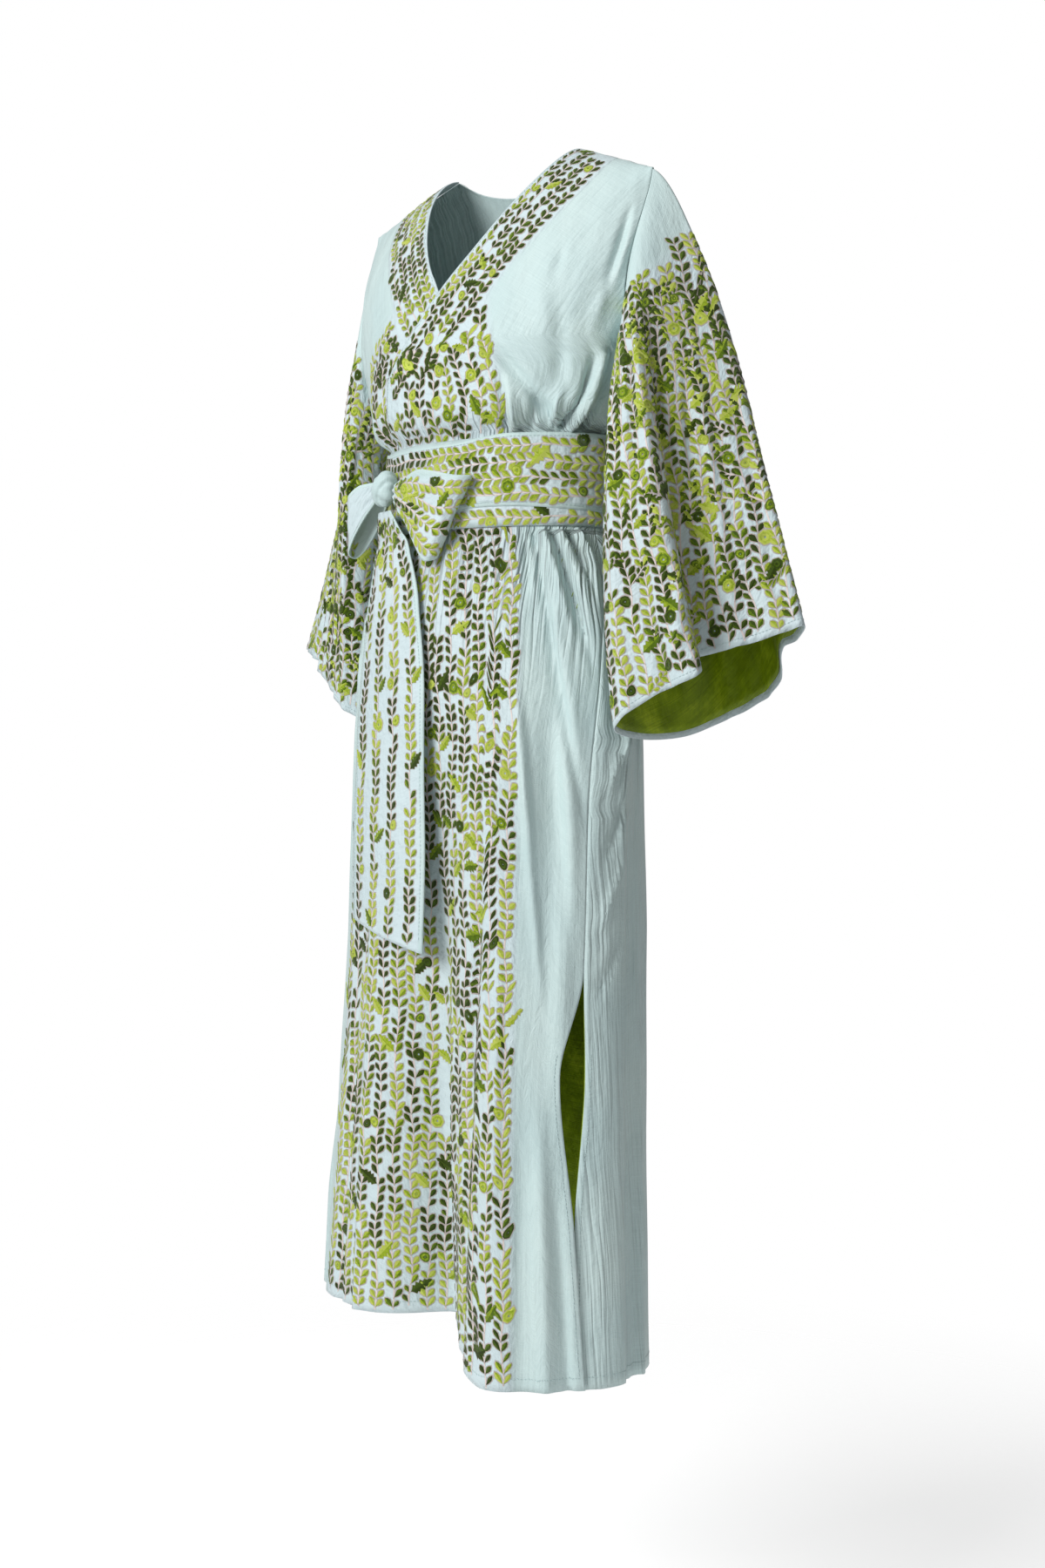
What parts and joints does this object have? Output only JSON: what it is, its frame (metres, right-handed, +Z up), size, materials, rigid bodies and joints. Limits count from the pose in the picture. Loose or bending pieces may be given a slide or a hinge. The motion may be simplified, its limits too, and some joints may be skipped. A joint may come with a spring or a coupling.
{
  "type": "wrap kaftan",
  "caption": "Long wrap kaftan in its worn hollow shape, with wide bell sleeves, side slits and a wide sash tied in a bow with one long tail.",
  "frame": {"origin": "midway between the two shoulder points, at the shoulder cloth, inside the neck and shoulders", "axes": "+Z up through the neck, front of the garment facing -Y, +X towards the wearer's left sleeve"},
  "size_m": [0.802, 0.2654, 1.3491],
  "materials": {
    "cloth": "soft silk and cotton weave with a low sheen",
    "embroidered_cloth": "the same weave covered in leaf and flower embroidery",
    "lining": "smooth satin lining"
  },
  "bodies": {
    "root": {"bodice_front_left": "embroidered_cloth", "bodice_front_right": "embroidered_cloth", "bodice_back": "cloth", "skirt_front_left": "embroidered_cloth", "skirt_front_right": "embroidered_cloth", "skirt_back": "cloth", "skirt_lining_left": "lining", "skirt_lining_right": "lining", "skirt_lining_back": "lining", "sleeve_left": "embroidered_cloth", "sleeve_lining_left": "lining", "sleeve_right": "embroidered_cloth", "sleeve_lining_right": "lining", "sash": "embroidered_cloth", "sash_knot": "cloth", "bow_loop_left": "embroidered_cloth", "bow_loop_right": "embroidered_cloth", "sash_tail": "embroidered_cloth"}
  },
  "joints": []
}
